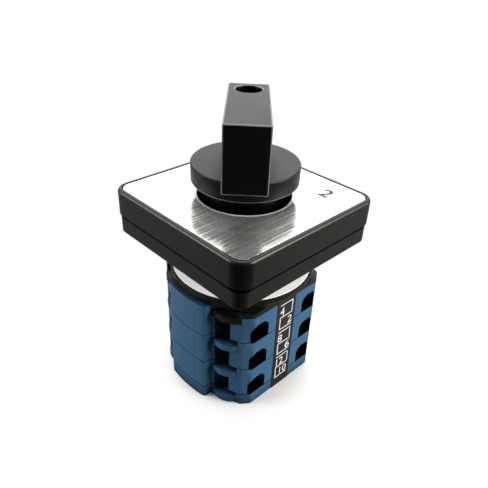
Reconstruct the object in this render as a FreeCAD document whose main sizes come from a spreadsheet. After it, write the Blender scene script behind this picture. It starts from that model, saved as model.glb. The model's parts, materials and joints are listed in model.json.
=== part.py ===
# Panel-mounted rotary cam switch: three positions, three contact decks, twelve terminals.
# The switch stands on its rear end. Z runs along the shaft towards the handle, and the
# origin is the centre of the end cover's rear face. All sizes are millimetres.
import FreeCAD, Part
import math
import os
import re
import Sketcher

doc = FreeCAD.newDocument("rotary_cam_switch")

# Driving sizes
SIZES = {
    "bezel_side": 64.0,
    "bezel_height": 9.3,
    "bezel_corner": 5.6,
    "bezel_wall": 2.2,
    "bezel_web": 3.0,
    "bezel_collar_wall": 2.0,
    "bezel_edge": 1.2,
    "nameplate_recess": 0.7,
    "nameplate_thick": 0.5,
    "nameplate_inset": 1.8,
    "nameplate_corner": 4.0,
    "nameplate_gap": 0.25,
    "nameplate_bore": 16.2,
    "recess_corner": 3.6,
    "base_inset": 0.8,
    "base_height": 7.6,
    "base_corner": 3.8,
    "base_wall": 2.4,
    "base_web": 3.0,
    "base_bore": 7.5,
    "base_seat_wall": 1.5,
    "base_edge": 0.8,
    "mount_inset": 7.2,
    "mount_bore": 2.25,
    "mount_boss": 4.2,
    "housing_boss": 15.0,
    "housing_boss_height": 10.3,
    "housing_screw_reach": 11.4,
    "housing_screw_bore": 1.5,
    "housing_screw_head": 2.9,
    "housing_screw_head_height": 1.8,
    "housing_screw_depth": 8.0,
    "housing_screw_gap": 0.1,
    "flange_radius": 25.9,
    "flange_thick": 1.4,
    "housing_block": 2.2,
    "housing_skirt": 25.4,
    "disc_radius": 25.2,
    "disc_thick": 0.3,
    "disc_gap": 0.3,
    "deck_pitch": 12.4,
    "deck_web": 1.6,
    "wall_half_x": 9.6,
    "spring_wall": 1.4,
    "mouth_wall": 1.3,
    "mouth_depth": 4.5,
    "side_wall": 2.6,
    "pillar_slope": 2.3,
    "pillar_y": 18.7,
    "body_corner_y": 15.6,
    "wall_root_y": 23.1,
    "wall_edge_y": 25.6,
    "wall_shoulder_x": 8.6,
    "wall_shoulder_y": 26.2,
    "wall_crown": 50.0,
    "shelf_drop": 2.0,
    "shelf_thick": 2.4,
    "shelf_knee_inset": 2.6,
    "shelf_knee_y": 22.9,
    "shelf_front": 7.0,
    "shelf_step": 1.7,
    "shelf_end_y": 19.3,
    "chamber_inner_y": 9.0,
    "chamber_outer_y": 16.6,
    "access_y": 12.7,
    "access_half": 4.0,
    "access_height": 7.1,
    "access_corner": 3.2,
    "end_cover_height": 5.0,
    "end_cover_edge": 0.5,
    "strip_half": 4.65,
    "strip_depth": 0.9,
    "strip_proud": 0.15,
    "strip_clearance": 0.05,
    "shaft_square": 6.0,
    "square_clearance": 0.05,
    "journal_radius": 2.9,
    "journal_length": 3.0,
    "journal_clearance": 0.05,
    "cam_small": 6.2,
    "cam_stroke": 2.4,
    "cam_thick": 6.5,
    "cam_hub": 5.4,
    "cam_clearance": 0.6,
    "hub_clearance": 0.35,
    "follower_gap": 0.1,
    "plunger_half": 2.5,
    "plunger_clearance": 0.05,
    "plunger_height": 5.0,
    "slot_floor": 2.0,
    "plunger_tail": 3.0,
    "nose_radius": 3.0,
    "bridge_height": 4.0,
    "bridge_half": 7.6,
    "bridge_thick": 1.0,
    "tip_radius": 1.5,
    "tip_thick": 0.55,
    "tip_gap": 0.05,
    "tip_x": 5.7,
    "contact_thick": 1.0,
    "fixed_inner_y": 10.0,
    "fixed_inner_x": 3.4,
    "terminal_plate": 1.2,
    "terminal_plate_set": 1.3,
    "terminal_gap": 0.3,
    "wire_space": 3.0,
    "clamp_side": 6.6,
    "clamp_thick": 0.9,
    "screw_radius": 1.75,
    "screw_clearance": 0.05,
    "screw_head_radius": 3.1,
    "screw_head_thick": 2.2,
    "screw_head_gap": 1.1,
    "screw_axis_height": 4.3,
    "screw_tail": 0.6,
    "chamber_end_y": 24.4,
    "spring_radius": 1.9,
    "spring_wire": 0.27,
    "spring_clearance": 0.1,
    "spring_turns": 3.0,
    "tie_inset": 5.6,
    "tie_radius": 1.5,
    "tie_clearance": 0.1,
    "tie_head": 2.8,
    "tie_head_thick": 2.0,
    "detent_radius": 9.4,
    "detent_notch": 1.3,
    "detent_notch_reach": 10.2,
    "detent_thick": 3.0,
    "detent_hub": 6.0,
    "detent_lift": 0.3,
    "detent_headroom": 0.4,
    "detent_pocket": 12.6,
    "detent_spring_thick": 0.5,
    "detent_spring_reach": 10.4,
    "detent_spring_half": 5.9,
    "detent_nose": 1.1,
    "stop_lug_half": 1.5,
    "stop_lug_reach": 11.9,
    "stop_post": 1.4,
    "stop_reach": 11.4,
    "stop_angle": 61.5,
    "handle_disc_radius": 18.2,
    "handle_disc_low": 5.0,
    "handle_disc_high": 11.4,
    "handle_disc_edge": 0.5,
    "handle_neck": 13.5,
    "handle_neck_depth": 5.0,
    "handle_top": 34.8,
    "grip_front": 32.7,
    "grip_back": 5.9,
    "grip_width": 12.9,
    "grip_tip_low": 14.9,
    "grip_root": 16.0,
    "handle_turn": 45.0,
    "handle_bore": 4.2,
    "handle_floor": 9.2,
    "socket_top": 6.8,
    "socket_gap": 0.3,
    "handle_screw_bore": 2.2,
    "handle_screw_radius": 1.9,
    "handle_screw_gap": 0.05,
    "handle_screw_head": 3.5,
    "handle_screw_head_height": 2.8,
    "handle_screw_length": 12.0,
    "washer_thick": 0.8,
    "washer_radius": 3.9,
}

# Sizes and places that follow from them
PLACES = {
    "bezel_half": "bezel_side / 2",
    "bezel_flat": "bezel_side / 2 - bezel_corner",
    "bezel_inner": "bezel_side / 2 - bezel_wall",
    "plate_half": "bezel_side / 2 - nameplate_inset",
    "plate_flat": "plate_half - nameplate_corner",
    "recess_half": "plate_half + nameplate_gap",
    "recess_flat": "plate_half + nameplate_gap - recess_corner",
    "collar_inner": "nameplate_bore + nameplate_gap",
    "collar_outer": "nameplate_bore + nameplate_gap + bezel_collar_wall",
    "bezel_cavity": "bezel_height - nameplate_recess - bezel_web",
    "base_half": "bezel_side / 2 - base_inset",
    "base_flat": "base_half - base_corner",
    "base_inner": "base_half - base_wall",
    "base_cavity": "base_height - base_web",
    "mount_half": "base_half - mount_inset",
    "screw_offset": "housing_screw_reach / sqrt(2)",
    "deck_3_base": "end_cover_height",
    "deck_2_base": "end_cover_height + deck_pitch",
    "deck_1_base": "end_cover_height + 2 * deck_pitch",
    "housing_base": "end_cover_height + 3 * deck_pitch",
    "flange_base": "housing_base + housing_block",
    "disc_base": "flange_base + flange_thick",
    "base_base": "disc_base + housing_boss_height",
    "bezel_base": "base_base + base_height",
    "bezel_top": "bezel_base + bezel_height",
    "nameplate_base": "bezel_top - nameplate_recess",
    "mouth_inner_x": "wall_half_x + mouth_wall",
    "chamber_half_x": "wall_half_x - spring_wall",
    "terminal_plate_x": "mouth_inner_x + terminal_plate_set",
    "clamp_x": "terminal_plate_x + terminal_plate + wire_space",
    "head_x": "clamp_x + clamp_thick",
    "chamber_outer_x": "head_x + screw_head_thick + screw_head_gap",
    "body_half_x": "chamber_outer_x + side_wall",
    "pillar_x": "body_half_x - pillar_slope",
    "mouth_outer_x": "pillar_x - mouth_depth",
    "shelf_end_x": "pillar_x - shelf_step",
    "shelf_knee_x": "mouth_outer_x - shelf_knee_inset",
    "tie_x": "body_half_x - tie_inset",
    "shelf_top": "deck_pitch - shelf_drop",
    "shelf_low": "deck_pitch - shelf_drop - shelf_thick",
    "cam_room": "deck_pitch - deck_web",
    "cam_bore": "cam_small + cam_stroke + cam_clearance",
    "web_bore": "cam_hub + hub_clearance",
    "guide_half": "plunger_half + plunger_clearance",
    "strip_back": "fixed_inner_y - strip_clearance",
    "strip_slot_end": "fixed_inner_y + contact_thick + strip_clearance",
    "slot_ceiling": "slot_floor + plunger_height + 2 * plunger_clearance",
    "cam_base": "slot_floor + plunger_height / 2 - cam_thick / 2",
    "cam_large": "cam_small + cam_stroke",
    "nose_rise": "nose_radius - sqrt(nose_radius * nose_radius - plunger_half * plunger_half)",
    "fixed_face": "fixed_inner_y + contact_thick",
    "fixed_tip_face": "fixed_inner_y + contact_thick + tip_thick",
    "bridge_closed": "fixed_tip_face + tip_gap",
    "plunger_closed": "cam_small + follower_gap",
    "window_near": "bridge_closed + tip_thick - plunger_closed",
    "window_far": "bridge_closed + tip_thick + bridge_thick - plunger_closed",
    "plunger_length": "bridge_closed + tip_thick + bridge_thick - plunger_closed + plunger_tail",
    "window_low": "plunger_height / 2 - bridge_height / 2",
    "window_high": "plunger_height / 2 + bridge_height / 2",
    "bridge_back": "tip_thick + bridge_thick",
    "bridge_middle": "bridge_height / 2",
    "bridge_base": "slot_floor + plunger_height / 2 - bridge_height / 2",
    "contact_middle": "slot_floor + plunger_height / 2",
    "plate_back": "terminal_plate_x + terminal_plate",
    "plate_near_y": "chamber_inner_y + terminal_gap",
    "plate_far_y": "chamber_outer_y - terminal_gap",
    "cover_shelf": "end_cover_height - shelf_drop",
    "tie_top": "housing_base + housing_block",
    "stop_x": "stop_reach * cos(stop_angle)",
    "stop_y": "stop_reach * sin(stop_angle)",
    "wheel_base": "housing_base + detent_lift",
    "hub_length": "housing_block + flange_thick + housing_boss_height - 2 * detent_lift",
    "boss_top": "housing_block + flange_thick + housing_boss_height",
    "flange_top": "housing_block + flange_thick",
    "strip_length": "housing_base + housing_block",
    "base_seat": "housing_boss + base_seat_wall",
    "housing_screw_hole": "housing_screw_bore + housing_screw_gap",
    "screw_pocket": "housing_screw_head + housing_screw_gap",
    "socket_half": "shaft_square / 2 + square_clearance",
    "shaft_half": "shaft_square / 2",
    "shaft_screw_bore": "handle_screw_radius + handle_screw_gap",
    "access_low_y": "access_y - access_half",
    "access_high_y": "access_y + access_half",
    "access_corner_low": "access_y - access_half + access_corner",
    "access_corner_high": "access_y + access_half - access_corner",
    "access_shoulder": "access_height - access_corner",
    "strip_groove": "strip_half + strip_clearance",
    "groove_floor": "body_half_x - strip_depth - strip_clearance",
    "strip_floor": "body_half_x - strip_depth",
    "strip_face": "body_half_x + strip_proud",
    "tie_bore": "tie_radius + tie_clearance",
    "tie_recess": "tie_head + tie_clearance",
    "journal_bore": "journal_radius + journal_clearance",
    "journal_base": "end_cover_height - journal_length",
    "shaft_top": "bezel_top + socket_top - socket_gap",
    "hub_bore": "detent_hub + journal_clearance",
    "pocket_depth": "detent_lift + detent_thick + detent_headroom",
    "skirt_end_y": "sqrt(housing_skirt * housing_skirt - body_half_x * body_half_x)",
    "disc_inner": "housing_boss + disc_gap",
    "screw_bore": "screw_radius + screw_clearance",
}


def fill_sheet(name, cells):
    """Spreadsheet with one alias for each row."""
    sheet = doc.addObject("Spreadsheet::Sheet", name)
    for row, (alias, content) in enumerate(cells.items(), start=1):
        sheet.set(f"A{row}", alias)
        sheet.set(f"B{row}", str(content))
        sheet.setAlias(f"B{row}", alias)
    doc.recompute()
    return sheet


def with_sheets(formula, places_prefix):
    """The formula with each size or place read from the sheet that holds it."""
    def with_prefix(found):
        name = found.group()
        if name in SIZES:
            return "Sizes." + name
        return places_prefix + name if name in PLACES else name
    return re.sub(r"[a-z]\w*", with_prefix, formula)


def bind(formula):
    """The formula as a feature of the document reads it."""
    return with_sheets(formula, "Places.")


def own_sheet(formula):
    """The formula as the second sheet reads it: its own cells go by their bare names."""
    return "=" + with_sheets(formula, "")


sizes = fill_sheet("Sizes", SIZES)
places = fill_sheet("Places", {alias: own_sheet(formula) for alias, formula in PLACES.items()})


def value(name):
    """Signed value of a size or place, such as -pillar_x."""
    if name == "0":
        return 0.0
    sign = -1.0 if name.startswith("-") else 1.0
    alias = name.lstrip("-")
    return sign * float((sizes if alias in SIZES else places).get(alias))


def vector(x, y, z=0.0):
    return FreeCAD.Vector(x, y, z)


def new_body(label):
    body = doc.addObject("PartDesign::Body", label)
    body.Label = label
    return body


def new_sketch(body, name, plane="XY_Plane", offset=None):
    """Sketch on one of the body's own origin planes, moved along its normal by offset."""
    sketch = body.newObject("Sketcher::SketchObject", name)
    support = next(part for part in body.Origin.OriginFeatures if part.Role == plane)
    sketch.AttachmentSupport = [(support, "")]
    sketch.MapMode = "FlatFace"
    if offset:
        sketch.setExpression("AttachmentOffset.Base.z", bind(offset))
    return sketch


def hold(sketch, edge, end, x, y):
    """Fix a point of the sketch at a signed place, measured from the sketch's origin."""
    for kind, name, axis in (("DistanceX", x, -2), ("DistanceY", y, -1)):
        if name == "0":
            sketch.addConstraint(Sketcher.Constraint("PointOnObject", edge, end, axis))
            continue
        size = abs(value(name))
        if value(name) < 0:
            rule = Sketcher.Constraint(kind, edge, end, -1, 1, size)
        else:
            rule = Sketcher.Constraint(kind, -1, 1, edge, end, size)
        index = sketch.addConstraint(rule)
        sketch.setExpression(f"Constraints[{index}]", bind(name.lstrip("-")))


def arc_between(start, end, radius):
    """Arc from start to end, left-handed centre for a positive radius, and its end order."""
    chord = end - start
    middle = (start + end) * 0.5
    normal = vector(-chord.y, chord.x) * (1.0 / chord.Length)
    rise = math.sqrt(max(radius ** 2 - (chord.Length / 2) ** 2, 0.0))
    centre = middle + normal * (rise if radius > 0 else -rise)
    first, last = (start, end) if radius > 0 else (end, start)
    from_angle = math.atan2(first.y - centre.y, first.x - centre.x)
    to_angle = math.atan2(last.y - centre.y, last.x - centre.x)
    circle = Part.Circle(centre, vector(0, 0, 1), abs(radius))
    order = (1, 2) if radius > 0 else (2, 1)
    return Part.ArcOfCircle(circle, from_angle, to_angle), order


def outline(sketch, points, arcs=None):
    """Closed outline through signed places; arcs names the radius of an edge by its number."""
    arcs = arcs or {}
    corners = [vector(value(x), value(y)) for x, y in points]
    edges = []
    for index, start in enumerate(corners):
        end = corners[(index + 1) % len(corners)]
        if index in arcs:
            curve, order = arc_between(start, end, value(arcs[index]))
        else:
            curve, order = Part.LineSegment(start, end), (1, 2)
        edges.append((sketch.addGeometry(curve, False), order))
    for index, (x, y) in enumerate(points):
        edge, order = edges[index]
        previous, previous_order = edges[index - 1]
        sketch.addConstraint(Sketcher.Constraint("Coincident", previous, previous_order[1], edge, order[0]))
        hold(sketch, edge, order[0], x, y)
    for index, radius in arcs.items():
        rule = Sketcher.Constraint("Radius", edges[index][0], abs(value(radius)))
        number = sketch.addConstraint(rule)
        sketch.setExpression(f"Constraints[{number}]", bind(radius.lstrip("-")))


def circle(sketch, x, y, radius):
    """Circle at a signed place."""
    curve = Part.Circle(vector(value(x), value(y)), vector(0, 0, 1), value(radius))
    edge = sketch.addGeometry(curve, False)
    hold(sketch, edge, 3, x, y)
    index = sketch.addConstraint(Sketcher.Constraint("Radius", edge, value(radius)))
    sketch.setExpression(f"Constraints[{index}]", bind(radius))


def box_outline(sketch, low_x, low_y, high_x, high_y):
    outline(sketch, [(low_x, low_y), (high_x, low_y), (high_x, high_y), (low_x, high_y)])


def rounded_square(sketch, half, flat, corner):
    """Square with rounded corners, centred on the origin."""
    points = [
        ("-" + flat, "-" + half), (flat, "-" + half), (half, "-" + flat), (half, flat),
        (flat, half), ("-" + flat, half), ("-" + half, flat), ("-" + half, "-" + flat),
    ]
    outline(sketch, points, {1: corner, 3: corner, 5: corner, 7: corner})


def pad(body, sketch, name, length, reverse=False):
    feature = body.newObject("PartDesign::Pad", name)
    feature.Profile = sketch
    feature.setExpression("Length", bind(length))
    feature.Reversed = reverse
    sketch.Visibility = False
    doc.recompute()
    return feature


def pocket(body, sketch, name, length, reverse=True):
    """Cut along the sketch's normal, or against it with reverse off."""
    feature = body.newObject("PartDesign::Pocket", name)
    feature.Profile = sketch
    feature.setExpression("Length", bind(length))
    feature.Reversed = reverse
    sketch.Visibility = False
    doc.recompute()
    return feature


def round_rim(body, name, radius, height="0"):
    """Round every edge that the body has at a height."""
    level = value(height)
    block = body.Tip
    rim = [
        f"Edge{number}" for number, edge in enumerate(block.Shape.Edges, start=1)
        if all(abs(corner.Z - level) < MATCH for corner in edge.Vertexes)
    ]
    feature = body.newObject("PartDesign::Fillet", name)
    feature.Base = (block, rim)
    feature.setExpression("Radius", bind(radius))
    doc.recompute()
    return feature


def turn_with_handle(body, direction):
    """Turn a piece of the rotor from its own axes to the handle's first position."""
    body.Placement = FreeCAD.Placement(vector(0, 0, 0), FreeCAD.Rotation(vector(0, 0, direction), 1))
    body.setExpression(".Placement.Rotation.Angle", bind("handle_turn"))


def place_at(body, height):
    """Put the body's own base at a height of the switch."""
    body.setExpression(".Placement.Base.z", bind(height))
    doc.recompute()


def solid_node(label, shape, height=None):
    """Piece whose shape is made here from the sheets' values."""
    feature = doc.addObject("Part::Feature", label)
    feature.Label = label
    feature.Shape = shape
    if height:
        feature.Placement = FreeCAD.Placement(vector(0, 0, value(height)), FreeCAD.Rotation())
    return feature


CORNERS = [("", ""), ("", "-"), ("-", ""), ("-", "-")]
DECK_COUNT = 3
DECKS = range(1, DECK_COUNT + 1)
NOTCHES = 8
SPIRAL_STEPS = 8
COIL_SIDES = 10
QUARTER_TURN = 90
MITRED = 1
MATCH = 0.001
NODES = []


# Outline of the contact decks, from the marking-strip face round to the curved wall
def half_outline():
    """Right half of a deck's outline, from the lower curved wall up to the upper one."""
    lower = [
        ("wall_shoulder_x", "-wall_shoulder_y"), ("wall_half_x", "-wall_edge_y"),
        ("wall_half_x", "-wall_root_y"), ("pillar_x", "-pillar_y"), ("body_half_x", "-body_corner_y"),
    ]
    upper = [(x, y.lstrip("-")) for x, y in reversed(lower)]
    return lower + upper


def deck_outline(sketch):
    right = half_outline()
    left = [("-" + x, y) for x, y in reversed(right)]
    points = right + left
    outline(sketch, points, {len(right) - 1: "wall_crown", len(points) - 1: "wall_crown"})


def shelf_outlines(sketch):
    """Four wire-entry shelves with a bowed front edge that stands out past the outline."""
    for sign_x, sign_y in CORNERS:
        points = [
            (sign_x + "wall_shoulder_x", sign_y + "chamber_outer_y"),
            (sign_x + "shelf_end_x", sign_y + "chamber_outer_y"),
            (sign_x + "shelf_end_x", sign_y + "shelf_end_y"),
            (sign_x + "shelf_knee_x", sign_y + "shelf_knee_y"),
            (sign_x + "wall_half_x", sign_y + "wall_root_y"),
            (sign_x + "wall_shoulder_x", sign_y + "wall_root_y"),
        ]
        bow = "shelf_front" if (sign_x == sign_y) else "-shelf_front"
        outline(sketch, points, {2: bow})


def make_deck(number):
    """Contact deck: open below, with two curved spring walls and four terminal chambers."""
    body = new_body(f"deck_{number}")
    block = new_sketch(body, f"deck_{number}_outline")
    deck_outline(block)
    pad(body, block, f"deck_{number}_block", "deck_pitch")
    front = new_sketch(body, f"deck_{number}_front", offset="shelf_top")
    for sign_x, sign_y in CORNERS:
        box_outline(front, sign_x + "mouth_inner_x", sign_y + "chamber_outer_y",
                    sign_x + "shelf_end_x", sign_y + "wall_shoulder_y")
    pocket(body, front, f"deck_{number}_drop", "shelf_drop")
    shelves = new_sketch(body, f"deck_{number}_shelves", offset="shelf_low")
    shelf_outlines(shelves)
    pad(body, shelves, f"deck_{number}_shelf", "shelf_thick")
    mouths = new_sketch(body, f"deck_{number}_mouths")
    for sign_x, sign_y in CORNERS:
        outline(mouths, [
            (sign_x + "mouth_inner_x", sign_y + "chamber_inner_y"),
            (sign_x + "chamber_outer_x", sign_y + "chamber_inner_y"),
            (sign_x + "chamber_outer_x", sign_y + "chamber_outer_y"),
            (sign_x + "mouth_outer_x", sign_y + "chamber_outer_y"),
            (sign_x + "mouth_outer_x", sign_y + "wall_shoulder_y"),
            (sign_x + "mouth_inner_x", sign_y + "wall_shoulder_y"),
        ])
    pocket(body, mouths, f"deck_{number}_mouth", "shelf_low")
    room = new_sketch(body, f"deck_{number}_cam_room")
    circle(room, "0", "0", "cam_bore")
    pocket(body, room, f"deck_{number}_cam_pocket", "cam_room")
    guide = new_sketch(body, f"deck_{number}_guide")
    box_outline(guide, "-guide_half", "-strip_slot_end", "guide_half", "strip_slot_end")
    pocket(body, guide, f"deck_{number}_guide_slot", "cam_room")
    contacts = new_sketch(body, f"deck_{number}_contact_room")
    for sign in ("", "-"):
        outline(contacts, [
            ("-mouth_inner_x", sign + "strip_back"), ("mouth_inner_x", sign + "strip_back"),
            ("mouth_inner_x", sign + "strip_slot_end"), ("chamber_half_x", sign + "strip_slot_end"),
            ("chamber_half_x", sign + "chamber_end_y"), ("-chamber_half_x", sign + "chamber_end_y"),
            ("-chamber_half_x", sign + "strip_slot_end"), ("-mouth_inner_x", sign + "strip_slot_end"),
        ])
    pocket(body, contacts, f"deck_{number}_contact_pocket", "slot_ceiling")
    bore = new_sketch(body, f"deck_{number}_bores")
    circle(bore, "0", "0", "web_bore")
    circle(bore, "tie_x", "0", "tie_bore")
    circle(bore, "-tie_x", "0", "tie_bore")
    pocket(body, bore, f"deck_{number}_bore", "deck_pitch")
    for side, offset, outward in (("right", "chamber_outer_x", True), ("left", "-chamber_outer_x", False)):
        arch = new_sketch(body, f"deck_{number}_access_{side}", "YZ_Plane", offset)
        for sign in ("", "-"):
            bend = "access_corner" if sign == "" else "-access_corner"
            outline(arch, [
                (sign + "access_low_y", "0"), (sign + "access_high_y", "0"),
                (sign + "access_high_y", "access_shoulder"), (sign + "access_corner_high", "access_height"),
                (sign + "access_corner_low", "access_height"), (sign + "access_low_y", "access_shoulder"),
            ], {2: bend, 4: bend})
        pocket(body, arch, f"deck_{number}_access_{side}_cut", "body_half_x", outward)
    cut_strip_grooves(body, f"deck_{number}", "deck_pitch")
    place_at(body, f"deck_{number}_base")
    return body


def cut_strip_grooves(body, label, height):
    """Grooves for the two marking strips in the flat sides."""
    for side, sign in (("right", ""), ("left", "-")):
        groove = new_sketch(body, f"{label}_groove_{side}")
        box_outline(groove, sign + "groove_floor", "-strip_groove", sign + "bezel_half", "strip_groove")
        pocket(body, groove, f"{label}_groove_{side}_cut", height)


def make_end_cover():
    """Rear cover with the shaft's lower bearing, its own shelves and the tie bolts' heads."""
    body = new_body("end_cover")
    block = new_sketch(body, "end_cover_outline")
    deck_outline(block)
    pad(body, block, "end_cover_block", "end_cover_height")
    front = new_sketch(body, "end_cover_front", offset="cover_shelf")
    for sign_x, sign_y in CORNERS:
        box_outline(front, sign_x + "mouth_inner_x", sign_y + "chamber_outer_y",
                    sign_x + "shelf_end_x", sign_y + "wall_shoulder_y")
    pocket(body, front, "end_cover_drop", "shelf_drop")
    shelves = new_sketch(body, "end_cover_shelves", offset="end_cover_edge")
    shelf_outlines(shelves)
    pad(body, shelves, "end_cover_shelf", "cover_shelf - end_cover_edge")
    bearing = new_sketch(body, "end_cover_bearing", offset="journal_base")
    circle(bearing, "0", "0", "journal_bore")
    pocket(body, bearing, "end_cover_bore", "journal_length")
    holes = new_sketch(body, "end_cover_holes")
    heads = new_sketch(body, "end_cover_heads")
    for sign in ("", "-"):
        circle(holes, sign + "tie_x", "0", "tie_bore")
        circle(heads, sign + "tie_x", "0", "tie_recess")
    pocket(body, holes, "end_cover_tie_holes", "end_cover_height")
    pocket(body, heads, "end_cover_head_pockets", "tie_head_thick")
    cut_strip_grooves(body, "end_cover", "end_cover_height")
    return body


def make_housing():
    """Mechanism housing: detent pocket below, round flange, and the boss that carries the plates."""
    body = new_body("mechanism_housing")
    block = new_sketch(body, "housing_outline")
    outline(block, [
        ("body_half_x", "-skirt_end_y"), ("body_half_x", "skirt_end_y"),
        ("-body_half_x", "skirt_end_y"), ("-body_half_x", "-skirt_end_y"),
    ], {1: "housing_skirt", 3: "housing_skirt"})
    pad(body, block, "housing_lower_block", "housing_block")
    flange = new_sketch(body, "housing_flange", offset="housing_block")
    circle(flange, "0", "0", "flange_radius")
    pad(body, flange, "housing_flange_disc", "flange_thick")
    boss = new_sketch(body, "housing_boss_circle", offset="flange_top")
    circle(boss, "0", "0", "housing_boss")
    pad(body, boss, "housing_boss_post", "housing_boss_height")
    room = new_sketch(body, "housing_detent_room")
    circle(room, "0", "0", "detent_pocket")
    pocket(body, room, "housing_detent_pocket", "pocket_depth")
    posts = new_sketch(body, "housing_stops")
    circle(posts, "-stop_x", "stop_y", "stop_post")
    circle(posts, "-stop_x", "-stop_y", "stop_post")
    pad(body, posts, "housing_stop_posts", "pocket_depth")
    bearing = new_sketch(body, "housing_bearing")
    circle(bearing, "0", "0", "hub_bore")
    pocket(body, bearing, "housing_bearing_bore", "boss_top")
    holes = new_sketch(body, "housing_tie_holes")
    for sign in ("", "-"):
        circle(holes, sign + "tie_x", "0", "tie_bore")
    pocket(body, holes, "housing_tie_bores", "housing_block")
    screws = new_sketch(body, "housing_screw_holes", offset="boss_top - housing_screw_depth")
    for sign_x, sign_y in CORNERS:
        circle(screws, sign_x + "screw_offset", sign_y + "screw_offset", "housing_screw_hole")
    pocket(body, screws, "housing_screw_bores", "housing_screw_depth")
    cut_strip_grooves(body, "housing", "housing_block")
    place_at(body, "housing_base")
    return body


def make_base_plate():
    """Hollow square plate with four mounting bosses and the seat of the housing's boss."""
    body = new_body("base_plate")
    block = new_sketch(body, "base_outline")
    rounded_square(block, "base_half", "base_flat", "base_corner")
    pad(body, block, "base_block", "base_height")
    round_rim(body, "base_rim", "base_edge")
    hollow = new_sketch(body, "base_hollow")
    box_outline(hollow, "-base_inner", "-base_inner", "base_inner", "base_inner")
    circle(hollow, "0", "0", "base_seat")
    for sign_x, sign_y in CORNERS:
        circle(hollow, sign_x + "mount_half", sign_y + "mount_half", "mount_boss")
    pocket(body, hollow, "base_cavity_cut", "base_cavity")
    holes = new_sketch(body, "base_holes")
    circle(holes, "0", "0", "base_bore")
    for sign_x, sign_y in CORNERS:
        circle(holes, sign_x + "mount_half", sign_y + "mount_half", "mount_bore")
        circle(holes, sign_x + "screw_offset", sign_y + "screw_offset", "housing_screw_hole")
    pocket(body, holes, "base_bores", "base_height")
    heads = new_sketch(body, "base_heads", offset="base_height - housing_screw_head_height")
    for sign_x, sign_y in CORNERS:
        circle(heads, sign_x + "screw_offset", sign_y + "screw_offset", "screw_pocket")
    pocket(body, heads, "base_head_pockets", "housing_screw_head_height")
    place_at(body, "base_base")
    return body


def make_bezel():
    """Front frame: rounded square cap with a shallow recess and a collar round the handle's neck."""
    body = new_body("bezel")
    block = new_sketch(body, "bezel_outline")
    rounded_square(block, "bezel_half", "bezel_flat", "bezel_corner")
    pad(body, block, "bezel_block", "bezel_height")
    round_rim(body, "bezel_rim", "bezel_edge", "bezel_height")
    recess = new_sketch(body, "bezel_recess", offset="bezel_height - nameplate_recess")
    rounded_square(recess, "recess_half", "recess_flat", "recess_corner")
    pocket(body, recess, "bezel_recess_cut", "nameplate_recess")
    hollow = new_sketch(body, "bezel_hollow")
    box_outline(hollow, "-bezel_inner", "-bezel_inner", "bezel_inner", "bezel_inner")
    circle(hollow, "0", "0", "collar_outer")
    pocket(body, hollow, "bezel_cavity_cut", "bezel_cavity")
    hole = new_sketch(body, "bezel_hole")
    circle(hole, "0", "0", "collar_inner")
    pocket(body, hole, "bezel_hole_cut", "bezel_height")
    place_at(body, "bezel_base")
    return body


def make_nameplate():
    """Aluminium plate with a round hole for the handle's neck."""
    body = new_body("nameplate")
    block = new_sketch(body, "nameplate_outline")
    rounded_square(block, "plate_half", "plate_flat", "nameplate_corner")
    circle(block, "0", "0", "nameplate_bore")
    pad(body, block, "nameplate_sheet", "nameplate_thick")
    place_at(body, "nameplate_base")
    return body


def make_rating_disc():
    """Thin round label round the housing's boss."""
    body = new_body("rating_disc")
    block = new_sketch(body, "rating_outline")
    circle(block, "0", "0", "disc_radius")
    circle(block, "0", "0", "disc_inner")
    pad(body, block, "rating_sheet", "disc_thick")
    place_at(body, "disc_base")
    return body


def make_marking_strip(label, sign):
    """Flat strip that lies in the grooves of the housing, the decks and the end cover."""
    body = new_body(label)
    block = new_sketch(body, label + "_outline")
    box_outline(block, sign + "strip_floor", "-strip_half", sign + "strip_face", "strip_half")
    pad(body, block, label + "_bar", "strip_length")
    return body


def make_handle():
    """Handle: neck, round disc and an overhanging grip with the screw hole on the axis."""
    body = new_body("handle")
    neck = new_sketch(body, "handle_neck_circle", offset="-handle_neck_depth")
    circle(neck, "0", "0", "handle_neck")
    pad(body, neck, "handle_neck_post", "handle_neck_depth + handle_disc_low")
    disc = new_sketch(body, "handle_disc_circle", offset="handle_disc_low")
    circle(disc, "0", "0", "handle_disc_radius")
    pad(body, disc, "handle_disc", "handle_disc_high - handle_disc_low")
    round_rim(body, "handle_disc_rim", "handle_disc_edge", "handle_disc_high")
    side = new_sketch(body, "handle_grip_side", "XZ_Plane")
    outline(side, [
        ("-grip_back", "handle_disc_low"), ("grip_root", "handle_disc_low"),
        ("grip_root", "handle_disc_high"), ("grip_front", "grip_tip_low"),
        ("grip_front", "handle_top"), ("-grip_back", "handle_top"),
    ])
    grip = pad(body, side, "handle_grip", "grip_width")
    grip.SideType = "Symmetric"
    doc.recompute()
    bore = new_sketch(body, "handle_bore_circle", offset="handle_floor")
    circle(bore, "0", "0", "handle_bore")
    pocket(body, bore, "handle_screw_room", "handle_top - handle_floor")
    hole = new_sketch(body, "handle_screw_circle", offset="socket_top")
    circle(hole, "0", "0", "handle_screw_bore")
    pocket(body, hole, "handle_screw_hole", "handle_floor - socket_top")
    socket = new_sketch(body, "handle_socket_square", offset="-handle_neck_depth")
    box_outline(socket, "-socket_half", "-socket_half", "socket_half", "socket_half")
    pocket(body, socket, "handle_socket", "handle_neck_depth + socket_top")
    turn_with_handle(body, -1)
    place_at(body, "bezel_top")
    return body


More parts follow.
